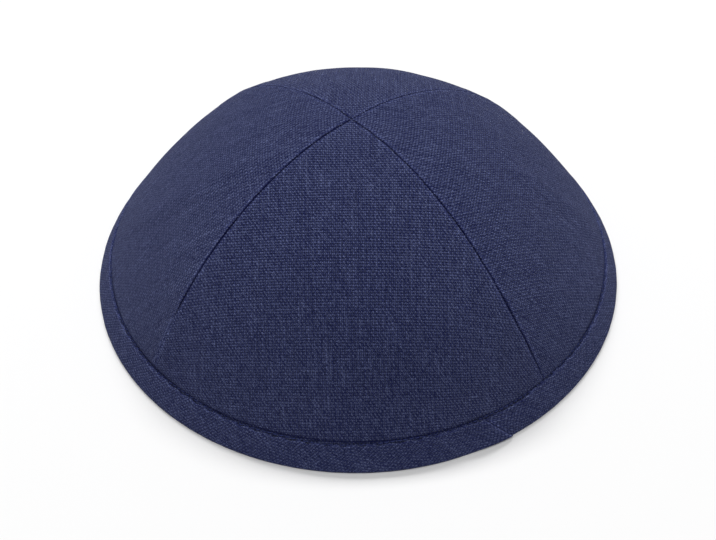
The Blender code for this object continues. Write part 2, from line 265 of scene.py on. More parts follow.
def crownRelief(azimuth, distance):
    share = distance / arcLength
    radius = np.interp(distance, arcDistance, arcRadius)
    total = np.zeros(np.broadcast(azimuth, distance).shape)
    for ridge in ridges:
        run = (share - ridge["top"]) / (ridge["foot"] - ridge["top"])
        crest = ridge["topAzimuth"] + (ridge["footAzimuth"] - ridge["topAzimuth"]) * run
        aside = radius * np.radians(turnBetween(azimuth, crest))
        ends = smooth(run / relief["ridgeFade"]) * smooth((1.0 - run) / relief["ridgeFade"])
        total += relief["ridgeHeight"] * ends * swell(aside / relief["ridgeWidth"])
    for dent in dents:
        aside = radius * np.radians(turnBetween(azimuth, dent["azimuth"]))
        along = distance - dent["along"] * arcLength
        total += dent["height"] * swell(np.hypot(aside, along) / dent["width"])
    flat = around(radius, azimuth, 0.0)
    for index, (size, height) in enumerate(relief["waves"]):
        total += height * noiseOver(flat[..., 0] / size, flat[..., 1] / size, noiseSeeds["waves"] + index)
    toFoot = tuckEnd - distance
    along = np.radians(azimuth) * rimRadius / relief["footPuckerLength"]
    near = np.exp(-np.maximum(toFoot, 0.0) / relief["footPuckerReach"])
    pucker = noiseOver(along, toFoot / relief["footPuckerWidth"], noiseSeeds["footPucker"])
    total += relief["footPuckerHeight"] * near * pucker
    return total


def crownPoints(azimuth, distance, across, depth, height):
    # depth is below the cloth's plain face, height the relief on it, across from -1 to 1 between the seams
    onArc = np.minimum(distance, arcLength)
    radius = np.interp(onArc, arcDistance, arcRadius)
    level = np.interp(onArc, arcDistance, arcHeight)
    slope = np.interp(onArc, arcDistance, arcSlope)
    share = onArc / arcLength
    free = 1.0 - tucked(onArc)
    inset = 4.0 * share * (1.0 - share) * (crown["flatTop"] * (1.0 - share) + crown["flatFoot"] * share)
    radius = radius * (1.0 - inset * (1.0 - across * across) * free)
    inwards = depth + panelOutside * (1.0 - free) - height * free
    inwards = inwards + crown["apexDip"] * swell(onArc / crown["apexDipRadius"])
    slope = slope + (math.radians(band["slope"]) - slope) * (1.0 - free)
    points = around(radius - inwards * np.sin(slope), azimuth, level - inwards * np.cos(slope))
    points[..., 0] -= crown["lean"] * (1.0 - smooth(share))
    skirtRadius, skirtHeight = onSlope(distance - arcLength, -panelOutside - depth)
    skirt = around(skirtRadius, azimuth, skirtHeight)
    return np.where((distance > arcLength)[..., None], skirt, points)


# Panels

mergeDistance = 1e-6
panelGrid = {
    "crownRows": 92,
    "tuckRows": 9,
    "skirtRows": 4,
    # columns beside each seam, by their distance from it
    "sides": (0.0, 0.00004, 0.00010, 0.00018, 0.00028, 0.00040, 0.00055, 0.0008, 0.0012, 0.0018, 0.0026,
              0.0036, 0.0046, 0.0054, 0.0060, 0.0066, 0.0076, 0.0090),
    "middleColumns": 76,
    "smoothAngle": 60.0,
    "flatWidth": 0.1290,     # the cut, with its turnings
    "flatLength": 0.1110,
    "flatArea": 0.0078,
    "grainTurn": {"front": -2.4, "right": 1.5, "back": -1.0, "left": -2.0},
    "bowedRows": 0.22,       # how far the weft follows the rim's round on the upper crown
    "bowedTo": 0.55,         # share of the arc where that starts to fade, and the share that it takes
    "bowFade": 0.40,
    "looseTop": 0.87,        # the spacing of the weft over the panel, as the cloth is drawn into shape
    "tightFoot": 0.10,
}


def panelRows():
    tip = crown["gap"] / math.sqrt(2.0)
    rows = np.linspace(tip, tuckStart, panelGrid["crownRows"], endpoint=False)
    tuck = np.linspace(tuckStart, arcLength, panelGrid["tuckRows"], endpoint=False)
    skirt = np.linspace(arcLength, arcLength + skirtLength, panelGrid["skirtRows"])
    return np.concatenate([rows, tuck, skirt])


def panelColumns(halfWidth):  # distance from the panel's middle of each column, for each row's half width
    sides = np.array(panelGrid["sides"])
    count = 2 * (len(sides) - 1) + panelGrid["middleColumns"]
    index = np.arange(count + 1)
    fromEdge = np.minimum(index, count - index)
    half = count / 2.0
    share = fromEdge / half
    named = sides[np.minimum(fromEdge, len(sides) - 1)]
    close = np.minimum(named[None, :], halfWidth[:, None] * share[None, :])
    last = np.minimum(sides[-1], halfWidth * (len(sides) - 1) / half)[:, None]
    part = (fromEdge - len(sides) + 1) / (half - len(sides) + 1)
    wide = last + (halfWidth[:, None] - last) * part[None, :]
    fromSeam = np.where(fromEdge[None, :] < len(sides), close, wide)
    return (halfWidth[:, None] - fromSeam) * np.where(index < half, -1.0, 1.0)[None, :]


def grooveOpenness(bySide, distance, aside):  # 1 where the cloth rolls all the way down into a seam
    share = np.minimum(distance / arcLength, 1.0)
    openness = 0.0 * aside
    for seam, side in bySide:
        seed = noiseSeeds["seamOpening"] + seam["seed"]
        uneven = noiseOver(distance / groove["unevenLength"], 0.0 * distance, seed)
        toFoot = smooth((share - seam["footFrom"]) / groove["footShare"])
        wanted = seam["topOpen"] + (seam["open"] - seam["topOpen"]) * smooth(distance / groove["topLength"])
        wanted = wanted + (seam["footOpen"] - seam["open"]) * toFoot
        wanted = np.clip(wanted + groove["uneven"] * uneven, groove["least"], 1.0)
        openness = np.where(side, wanted, openness)
    free = groove["underBinding"] + (1.0 - groove["underBinding"]) * (1.0 - tucked(distance))
    return openness * smooth(distance / (groove["startRolls"] * crown["seamRoll"])) * free


def allowanceCover(distance, fromSeam):  # 1 where the turned allowance lies under the panel
    width = 1.0 - smooth((fromSeam - crown["allowanceWidth"]) / crown["allowanceEdge"] + 0.5)
    trimmed = smooth((distance - crown["apexDipRadius"]) / crown["apexDipRadius"])
    graded = 1.0 - smooth((distance - tuckStart) / crown["allowanceTrim"] + 1.0)
    return width * trimmed * graded


def flatCloth(distance, turn):  # a panel's grain, laid on a ball and drawn into shape, turn from its middle
    ball = crown["clothRadius"]
    angle = distance / ball
    share = np.minimum(distance / arcLength, 1.0)
    flatX = ball * np.arcsin(np.sin(angle) * np.sin(turn))
    flatY = ball * np.arctan2(np.sin(angle) * np.cos(turn), np.cos(angle))
    bowed = panelGrid["bowedRows"] * (1.0 - smooth((share - panelGrid["bowedTo"]) / panelGrid["bowFade"]))
    flatY = flatY + (distance - flatY) * bowed
    flatY = flatY * (panelGrid["looseTop"] + panelGrid["tightFoot"] * flatY / arcLength)
    return np.stack([flatX, -flatY], -1)


def panelShape(leftSeam, rightSeam):
    distance = panelRows()[:, None]
    share = np.minimum(distance / arcLength, 1.0)
    left = seamAzimuth(leftSeam, share)
    right = left + (seamAzimuth(rightSeam, share) - left) % 360.0
    middle = (left + right) / 2.0
    halfTurn = np.radians(right - left) / 2.0
    radius = np.interp(np.minimum(distance, arcLength), arcDistance, arcRadius)
    halfGap = np.arcsin(np.minimum(crown["gap"] / 2.0 / radius, np.sin(halfTurn)))
    halfWidth = radius * (halfTurn - halfGap)
    aside = panelColumns(halfWidth[:, 0])
    azimuth = middle + np.degrees(aside / radius)
    across = aside / (radius * halfTurn)
    fromSeam = halfWidth - np.abs(aside)
    bySide = ((leftSeam, aside < 0.0), (rightSeam, aside >= 0.0))
    roll = crown["seamRoll"]
    rolling = np.clip(1.0 - fromSeam / roll, 0.0, 1.0)
    openness = grooveOpenness(bySide, distance, aside)
    depth = roll * openness * (1.0 - np.sqrt(1.0 - rolling * rolling))
    turned = allowanceCover(distance, fromSeam)
    height = crownRelief(azimuth, np.minimum(distance, arcLength) + 0.0 * aside)
    height = height + crown["allowancePad"] * turned
    along = (distance + 0.0 * aside) / relief["puckerLength"]
    near = np.exp(-fromSeam / relief["puckerReach"])
    for seam, side in bySide:
        seed = noiseSeeds["seamPucker"] + seam["seed"]
        pucker = relief["puckerHeight"] * near * noiseOver(along, fromSeam / relief["puckerWidth"], seed)
        height = height + np.where(side, seam["pucker"] * pucker, 0.0)
    height = height * smooth(distance / relief["topFade"])
    outer = crownPoints(azimuth, distance, across, depth, height)
    below = crown["wall"] + crown["allowanceWall"] * turned
    inner = crownPoints(azimuth, distance, across, below, height * relief["insideShare"])
    flat = flatCloth(distance, np.radians(azimuth - middle))
    seamPlace = fromSeam + groove["closedShift"] * (1.0 - openness)
    return outer, inner, flat, seamPlace, tuckEnd - distance + 0.0 * aside


def makeGrid(name, points, flat):  # a grid of quads on an array of points, its UV map the flat cloth
    rowCount, columnCount = points.shape[0] - 1, points.shape[1] - 1
    deselectAll()
    bpy.ops.mesh.primitive_grid_add(x_subdivisions=columnCount, y_subdivisions=rowCount, size=1.0)
    piece = bpy.context.object
    piece.name = name
    mesh = piece.data
    mesh.name = name
    start = getPoints(mesh)
    column = np.rint((start[:, 0] + 0.5) * columnCount).astype(np.int32)
    row = np.rint((start[:, 1] + 0.5) * rowCount).astype(np.int32)
    addPointValues(mesh, "row", row, "INT")
    addPointValues(mesh, "column", column, "INT")
    while mesh.uv_layers:
        mesh.uv_layers.remove(mesh.uv_layers[0])
    index = np.empty(len(mesh.loops), np.int32)
    mesh.loops.foreach_get("vertex_index", index)
    layer = mesh.uv_layers.new(name="cloth")
    layer.data.foreach_set("uv", flat[row[index], column[index]].astype(np.float32).ravel())
    setPoints(mesh, points[row, column])
    bpy.ops.object.mode_set(mode="EDIT")
    bpy.ops.mesh.select_all(action="SELECT")
    bpy.ops.mesh.remove_doubles(threshold=mergeDistance)
    bpy.ops.object.mode_set(mode="OBJECT")
    return piece


def closeWall(mesh, outer, inner):  # gives the grid its inner face and joins the two at the edges
    bpy.ops.object.mode_set(mode="EDIT")
    bpy.ops.mesh.select_all(action="SELECT")
    bpy.ops.mesh.extrude_region()
    bpy.ops.object.mode_set(mode="OBJECT")
    row, column = getPointValues(mesh, "row"), getPointValues(mesh, "column")
    chosen = np.empty(len(mesh.vertices), bool)
    mesh.vertices.foreach_get("select", chosen)
    setPoints(mesh, np.where(chosen[:, None], inner[row, column], outer[row, column]))


def finishCloth(piece, values, degrees, cloth, node):  # values by name, each an array over the grid
    mesh = piece.data
    row, column = getPointValues(mesh, "row"), getPointValues(mesh, "column")
    for name, value in values.items():
        addPointValues(mesh, name, value[row, column])
    mesh.attributes.remove(mesh.attributes["row"])
    mesh.attributes.remove(mesh.attributes["column"])
    activate(piece)
    bpy.ops.object.mode_set(mode="EDIT")
    bpy.ops.mesh.select_all(action="SELECT")
    bpy.ops.mesh.normals_make_consistent(inside=False)
    bpy.ops.object.mode_set(mode="OBJECT")
    bpy.ops.object.shade_smooth_by_angle(angle=math.radians(degrees))
    mesh.materials.clear()
    mesh.materials.append(cloth)
    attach(piece, "root")
    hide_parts(node)
    print(piece.name, len(mesh.polygons), "faces")


def makePanel(side, leftSeam, rightSeam, cloth):
    outer, inner, flat, fromSeam, toFoot = panelShape(seams[leftSeam], seams[rightSeam])
    turn = math.radians(panelGrid["grainTurn"][side])
    flat = flat @ np.array([[math.cos(turn), math.sin(turn)], [-math.sin(turn), math.cos(turn)]])
    panel = makeGrid("cloth_" + side, outer, flat)
    closeWall(panel.data, outer, inner)
    # distance from the seams, for painted shade and a painted highlight, and from the foot, for painted
    # shade
    values = {"seamDistance": fromSeam, "footDistance": toFoot}
    finishCloth(panel, values, panelGrid["smoothAngle"], cloth, "panel_" + side)


# Binding

bandGrid = {
    "steps": 420,
    "arcSteps": 7,
    "faceSteps": 12,
    "innerSteps": 8,
    "landSteps": 4,
    "pocketSteps": 5,
    "smoothAngle": 50.0,
    "lapSteps": (-0.55, -0.35, -0.24, -0.16, -0.10, -0.06, -0.03, 0.0),  # degrees up to the lap's edge
    "lapFoot": 0.00012,      # how far past the edge the lower layer's columns start
    "lapAfter": 0.8,         # spacing of the columns past the edge, as a share of those before it
    "faceMargin": 0.0001,    # from the outer leaf's last row to the start of the fold
    # each waver of the top edge: azimuth, half span in degrees and how far the edge drops
    "waver": ((-4.0, 32.0, 0.00054), (47.0, 13.0, -0.00063),
              (-110.0, 40.0, 0.00027), (170.0, 45.0, -0.00027)),
    "waverReach": 1.5,       # how fast the waver dies out below the edge, as a power
    "lipLoose": 0.3,         # share of the puckers at the two lips and on the inner leaf
    "innerLoose": 0.5,
    "puckerHeight": 0.00009,
    "puckerLength": 0.0040,
    "puckerStretch": 2.5,    # how much longer a pucker is along its diagonal
    "puckerHold": 0.0030,    # length beside the lap's edge over which the puckers die out
    "edgeWave": 0.00026,     # of the top edge from stitch to stitch
    "edgeUneven": 0.00010,
    "edgeUnevenLength": 0.0060,
    "lipShift": 0.0003,      # added to the distance from the lip, for the painted shade and the painted highlight beside an edge
    "lapShift": 0.0005,      # and to the distance from the lap's edge, on the upper layer, for its painted shade and painted highlight
    "flatWidth": 0.5220,     # the strip as folded, with its lap
    "flatLength": 0.0185,
}
stitching = {
    "pitch": 0.0017,
    "length": 0.00125,
    "thickness": 0.00030,
    "dive": 2.2,             # depth of a stitch's ends, in thicknesses
    "endReach": 1.1,         # handles below the ends: their place along the stitch and depth, as shares
    "endDepth": 1.6,
    "crownReach": 0.75,      # handles towards the middle: their place and height
    "crownRise": 0.15,
    "bevelSteps": 1,
    "lineSteps": 7,
    "outsideDrop": 0.00008,  # how far a row stands above the binding's lip and off the crown
    "outsideRaise": 0.00016,
    "insideDrop": 0.00012,
    "wander": 0.00005,
    "wanderRate": 0.37,      # of the noise from one stitch to the next
    "tilt": 0.07,
    "tiltSpread": 0.05,
    "tiltRate": 0.91,
}


def arcAround(centre, radius, start, end, steps):
    angle = np.radians(np.linspace(start, end, steps + 1))
    return [(centre[0] + radius * math.cos(a), centre[1] + radius * math.sin(a)) for a in angle]


def bandSection():
    # rows of radius, height, lift with the lap, share of the edge's waver, share of the puckers
    outward = 90.0 - band["slope"]
    halfLeaf = band["leaf"] / 2.0
    steps = bandGrid["arcSteps"]
    lipLoose = bandGrid["lipLoose"]
    outerLip = arcAround(onSlope(halfLeaf, -halfLeaf), halfLeaf, outward + 180.0, outward, steps)
    rows = [(r, z, 1.0, 1.0, lipLoose) for r, z in outerLip]
    first = halfLeaf / band["width"]
    last = 1.0 - (outerTangent + bandGrid["faceMargin"]) / band["width"]
    for share in np.linspace(first, last, bandGrid["faceSteps"] + 2)[1:-1]:
        bulge = band["swell"] * math.sin(math.pi * share) ** band["swellRound"]
        waver = (1.0 - share) ** bandGrid["waverReach"]
        rows.append((*onSlope(share * band["width"], bulge), 1.0, waver, 1.0))
    outerCentre = (floorRadius - outerTangent, band["foldOuter"])
    for r, z in arcAround(outerCentre, band["foldOuter"], outward, -90.0, steps):
        rows.append((r, z, min(z / band["foldOuter"], 1.0), 0.0, min(z / band["foldOuter"], 1.0)))
    innerTangent = band["foldInner"] * (1.0 - slopeCos) / slopeSin
    innerCentre = (floorRadius - bandThickness / slopeSin + innerTangent, band["foldInner"])
    land = np.linspace(outerCentre[0], innerCentre[0], bandGrid["landSteps"] + 1)[1:-1]
    rows += [(r, 0.0, 0.0, 0.0, 0.0) for r in land]
    innerFold = arcAround(innerCentre, band["foldInner"], -90.0, outward - 180.0, steps)
    rows += [(r, z, 0.0, 0.0, 0.0) for r, z in innerFold]
    innerEnd = innerCentre[1] + band["foldInner"] * math.sin(math.radians(outward - 180.0))
    lowest = (bandTopHeight - innerEnd - bandThickness * slopeCos) / slopeSin
    for down in np.linspace(lowest, halfLeaf, bandGrid["innerSteps"] + 2)[1:-1]:
        rows.append((*onSlope(down, -bandThickness), 0.0, 0.0, bandGrid["innerLoose"]))
    lipCentre = onSlope(halfLeaf, halfLeaf - bandThickness)
    innerLip = arcAround(lipCentre, halfLeaf, outward + 180.0, outward, steps)
    rows += [(r, z, 0.0, 0.0, lipLoose) for r, z in innerLip]
    for down in np.linspace(halfLeaf, pocketDepth, bandGrid["pocketSteps"] + 1)[1:]:
        rows.append((*onSlope(down, band["leaf"] - bandThickness), 0.0, 0.0, 0.0))
    for down in np.linspace(pocketDepth, halfLeaf, bandGrid["pocketSteps"] + 1)[:-1]:
        rows.append((*onSlope(down, -band["leaf"]), 0.0, 0.0, 0.0))
    return np.array(rows)


def bandColumns():  # azimuths from the lap's edge, starting just past it and ending on it
    close = np.array(bandGrid["lapSteps"])
    foot = math.degrees(bandGrid["lapFoot"] / rimRadius)
    after = foot - close[::-1][1:-1] * bandGrid["lapAfter"]
    plain = bandGrid["steps"] - len(close) - len(after) - 1
    between = np.linspace(after[-1], 360.0 + close[0], plain + 2)[1:-1]
    return np.concatenate([[foot], after, between, 360.0 + close])


def lapHeight(fromEdge):  # fromEdge in degrees, negative before the edge
    along = np.radians(fromEdge) * rimRadius
    rise = band["lapRise"] * smooth(1.0 + along / band["lapLength"])
    fromDip = (along / band["lapLength"] + band["lapDipPlace"]) / band["lapDipSpan"]
    rise = rise - band["lapDip"] * swell(fromDip)
    turn = np.clip(1.0 + along / band["lapRound"], 0.0, 1.0)
    rise = rise - band["lapRound"] * (1.0 - np.sqrt(1.0 - np.minimum(turn * turn, 1.0)))
    return np.where(fromEdge > 0.0, 0.0, rise)


def edgeDrop(azimuth):
    drop = 0.0 * azimuth
    for centre, halfSpan, depth in bandGrid["waver"]:
        drop = drop + depth * swell(turnBetween(azimuth, centre) / halfSpan)
    along = np.radians(azimuth) * rimRadius
    wave = bandGrid["edgeWave"] * np.cos(2.0 * math.pi * along / stitching["pitch"])
    uneven = noiseOver(along / bandGrid["edgeUnevenLength"], 0.0 * azimuth, noiseSeeds["bandEdge"])
    return drop + wave + bandGrid["edgeUneven"] * uneven


def makeBand(cloth):
    section = bandSection()
    section = np.concatenate([section, section[:1]])
    fromLap = bandColumns()
    fromLap = np.append(fromLap, fromLap[0])[None, :]
    lastOnes = np.arange(fromLap.shape[1])[None, :] >= fromLap.shape[1] // 2
    signed = turnBetween(fromLap, 0.0)
    radius, height, lift, edge, loose = (section[:, i][:, None] for i in range(5))
    lengths = np.hypot(np.diff(section[:, 0]), np.diff(section[:, 1]))
    unrolled = np.concatenate([[0.0], np.cumsum(lengths)])[:, None]
    around360 = np.where(lastOnes, fromLap + np.where(fromLap < 180.0, 360.0, 0.0), fromLap)
    along = np.radians(around360) * rimRadius
    reach = 1.0 - np.minimum(np.abs(signed) / math.degrees(band["lapLength"] / rimRadius), 1.0)
    azimuth = band["lapAzimuth"] + signed + band["lapSlant"] * reach * (0.5 - height / bandTopHeight)
    onTop = (fromLap >= 180.0) & (signed <= 0.0)
    loosened = loose * smooth(np.minimum(along, along.max() - along) / bandGrid["puckerHold"])
    diagonal = (along + unrolled) / bandGrid["puckerLength"]
    crossing = (along - unrolled) / (bandGrid["puckerStretch"] * bandGrid["puckerLength"])
    pucker = noiseOver(diagonal, crossing, noiseSeeds["bandPucker"])
    out = np.where(onTop, lapHeight(signed), 0.0) * lift + bandGrid["puckerHeight"] * loosened * pucker
    drop = edgeDrop(azimuth + 0.0 * out) * edge
    points = around(radius + out * slopeSin + drop * slopeCos, azimuth,
                    height + out * slopeCos - drop * slopeSin)
    points[-1], points[:, -1] = points[0], points[:, 0]
    flat = np.stack(np.broadcast_arrays(along, -unrolled), -1)
    piece = makeGrid("binding", points, flat)
    # distances from the lip and the lap's edge, which the linen turns into painted shade and a painted
    # highlight
    fromEdge = np.minimum(along, along.max() - along + bandGrid["lapShift"])
    fromEdge = np.minimum(unrolled + bandGrid["lipShift"], fromEdge)
    values = {"seamDistance": fromEdge, "footDistance": unrolled + 0.0 * along}
    finishCloth(piece, values, bandGrid["smoothAngle"], cloth, "rim_band")


# Stitching in the ditch above the binding, outside and inside

def makeStitch():
    deselectAll()
    bpy.ops.curve.primitive_bezier_curve_add(radius=1.0)
    stitch = bpy.context.object
    line = stitch.data
    half = stitching["length"] / 2.0
    dive = stitching["dive"] * stitching["thickness"]
    ends = line.splines[0].bezier_points
    for point, way in ((ends[0], -1.0), (ends[1], 1.0)):
        point.handle_left_type = point.handle_right_type = "FREE"
        point.co = (way * half, 0.0, -dive)
        below = (way * half * stitching["endReach"], 0.0, -dive * stitching["endDepth"])
        above = (way * half * stitching["crownReach"], 0.0, dive * stitching["crownRise"])
        point.handle_left, point.handle_right = (below, above) if way < 0.0 else (above, below)
    line.bevel_depth = stitching["thickness"] / 2.0
    line.bevel_resolution = stitching["bevelSteps"]
    line.resolution_u = stitching["lineSteps"]
    line.use_fill_caps = True
    bpy.ops.object.convert(target="MESH")
    return bpy.context.object


def copyToPlaces(model, name, places, cloth):  # one mesh of copies, each place a 4 by 4 matrix
    modelPoints = getPoints(model.data)
    faces = [tuple(face.vertices) for face in model.data.polygons]
    count = len(modelPoints)
    points = np.concatenate([modelPoints @ place[:3, :3].T + place[:3, 3] for place in places])
    allFaces = [tuple(v + count * i for v in face) for i in range(len(places)) for face in faces]
    mesh = bpy.data.meshes.new(name)
    mesh.from_pydata(points.tolist(), [], allFaces)
    mesh.shade_smooth()
    mesh.materials.append(cloth)
    piece = bpy.data.objects.new(name, mesh)
    bpy.context.scene.collection.objects.link(piece)
    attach(piece, "root")
    print(name, len(mesh.polygons), "faces")


def stitchPlaces(down, out, seed):
    circumference = 2.0 * math.pi * bandTopRadius
    count = round(circumference / stitching["pitch"])
    places = []
    for index in range(count):
        azimuth = 360.0 * index / count
        wander = noise.noise(Vector((index * stitching["wanderRate"], seed, noiseSeeds["stitchWander"])))
        drop = float(edgeDrop(np.array([azimuth]))[0])
        radius, height = onSlope(down + drop + stitching["wander"] * wander, out)
        centre = around(radius, azimuth, height)
        angle = math.radians(azimuth)
        along = np.array([math.cos(angle), math.sin(angle), 0.0])
        normal = np.array([math.sin(angle) * slopeSin, -math.cos(angle) * slopeSin, slopeCos])
        aside = np.cross(normal, along)
        lean = noise.noise(Vector((index * stitching["tiltRate"], seed, noiseSeeds["stitchTilt"])))
        tilt = stitching["tilt"] + stitching["tiltSpread"] * lean
        place = np.eye(4)
        place[:3, 0] = along * math.cos(tilt) + aside * math.sin(tilt)
        place[:3, 1] = -along * math.sin(tilt) + aside * math.cos(tilt)
        place[:3, 2] = normal
        place[:3, 3] = centre
        places.append(place)
    return places


def makeStitching(thread):
    model = makeStitch()
    radius = stitching["thickness"] / 2.0
    outsideOut = radius + stitching["outsideRaise"] - panelOutside
    insideOut = -panelOutside - crown["wall"] - radius
    outside = stitchPlaces(-radius - stitching["outsideDrop"], outsideOut, noiseSeeds["stitchesOutside"])
    inside = stitchPlaces(-radius - stitching["insideDrop"], insideOut, noiseSeeds["stitchesInside"])
    for place in inside:
        place[:3, 1] *= -1.0
        place[:3, 2] *= -1.0
    copyToPlaces(model, "stitches_outside", outside, thread)
    copyToPlaces(model, "stitches_inside", inside, thread)
    bpy.data.objects.remove(model, do_unlink=True)


# Materials

def addNode(tree, kind, inputs=None, **settings):
    node = tree.nodes.new(kind)
    for name, value in settings.items():
        setattr(node, name, value)
    for name, value in (inputs or {}).items():
        if isinstance(value, bpy.types.NodeSocket):
            tree.links.new(value, node.inputs[name])
        else:
            node.inputs[name].default_value = value
    return node


def compute(tree, operation, *values, clamp=False):
    inputs = dict(enumerate(values))
    return addNode(tree, "ShaderNodeMath", inputs, operation=operation, use_clamp=clamp).outputs[0]


def step(tree, value, low, high):  # eased step of a value from low to high
    inputs = {"Value": value, "From Min": low, "From Max": high, "To Min": 0.0, "To Max": 1.0}
    node = addNode(tree, "ShaderNodeMapRange", inputs, interpolation_type="SMOOTHSTEP")
    return node.outputs["Result"]


def blendValue(tree, share, first, second):  # first where share is 0
    inputs = {0: share, 2: first, 3: second}
    return addNode(tree, "ShaderNodeMix", inputs, data_type="FLOAT").outputs[0]


linen = {
    "warpPitch": 0.00054,
    "weftPitch": 0.000785,
    "warpDrift": 0.34,       # of the threads off their straight course, in threads
    "weftDrift": 0.12,
    "driftAcross": 0.9,      # rates of the drift's noise, per thread
    "driftAlong": 0.04,
    "slant": 0.45,           # of the yarn's twist in each float, in threads
    "roundness": 0.8,        # of a float, as a power
    "crossing": (-0.60, 0.05),  # where a weft float ends and a warp float starts
    "pairing": 0.14,         # how far every second warp gap is the darker
    "depth": 1.11,           # how dark the pores are beside the floats
    "rowGap": 0.48,
    "columnGap": 0.10,
    "weftTone": 0.42,        # of a weft float beside a warp float
    "unevenFloats": 0.46,
    "unevenWarp": 0.28,
    "unevenWeft": 0.16,
    "unevenFibres": 1.8,
    "threadRate": 0.05,      # of the noise of a thread's tone along it, and of the noise of its slubs
    "slubRate": 0.06,
    "slubs": 0.65,           # how much brighter a slub is, with where its noise starts and ends
    "warpSlubs": (0.62, 0.74),
    "weftSlubs": (0.70, 0.82),
    "slubRelief": 0.3,
    "fibreScale": 2.2,
    "fibreRelief": 0.3,
    "mottle": 0.03,
    "mottleScale": 210.0,
    "fill": 0.70,            # how far a middling float goes towards the full thread colour
    "ditchShade": 0.15,         # painted shade: share of the threads' brightness left in a seam and above the binding
    "seamShade": 0.0007,     # width of the painted shade beside a seam
    "highlightNear": (0.0003, 0.0007),  # the painted highlight beside a seam starts and ends at these distances
    "highlightFar": (0.0017, 0.0009),
    "evenTone": 0.42,        # plain tone that a look's "calm" goes towards
    "shadow": (0.0008, 0.0028, 0.0520, 1.0),
    "thread": (0.1280, 0.1535, 0.3220, 1.0),
    "relief": 0.00042,
    "bumpStrength": 1.0,
    "sheen": 0.155,
    "sheenRoughness": 0.36,
    "sheenTint": (0.47, 0.52, 0.77, 1.0),
    "roughness": 0.88,
    "specular": 0.06,
    # starts of the noises, so that no two are alike
    "seedSpacing": 3.71,
    "driftSeed": 53.0,
    "warpSeed": 0.37,
    "weftSeed": 91.37,
    "warpSlubSeed": 17.7,
    "weftSlubSeed": 67.1,
}
# each look: turn of the grain, tone, calm, strength of the painted highlight on the rolled edges, and width
# of the painted shade at the crown's foot and at the binding's lip
crownLook = {"turn": 0.0, "tone": 1.0, "calm": 0.0, "edgeHighlight": 0.5, "footShade": 0.0007}
bindingLook = {"turn": -45.0, "tone": 1.05, "calm": 0.12, "edgeHighlight": 0.8, "footShade": 0.0003}


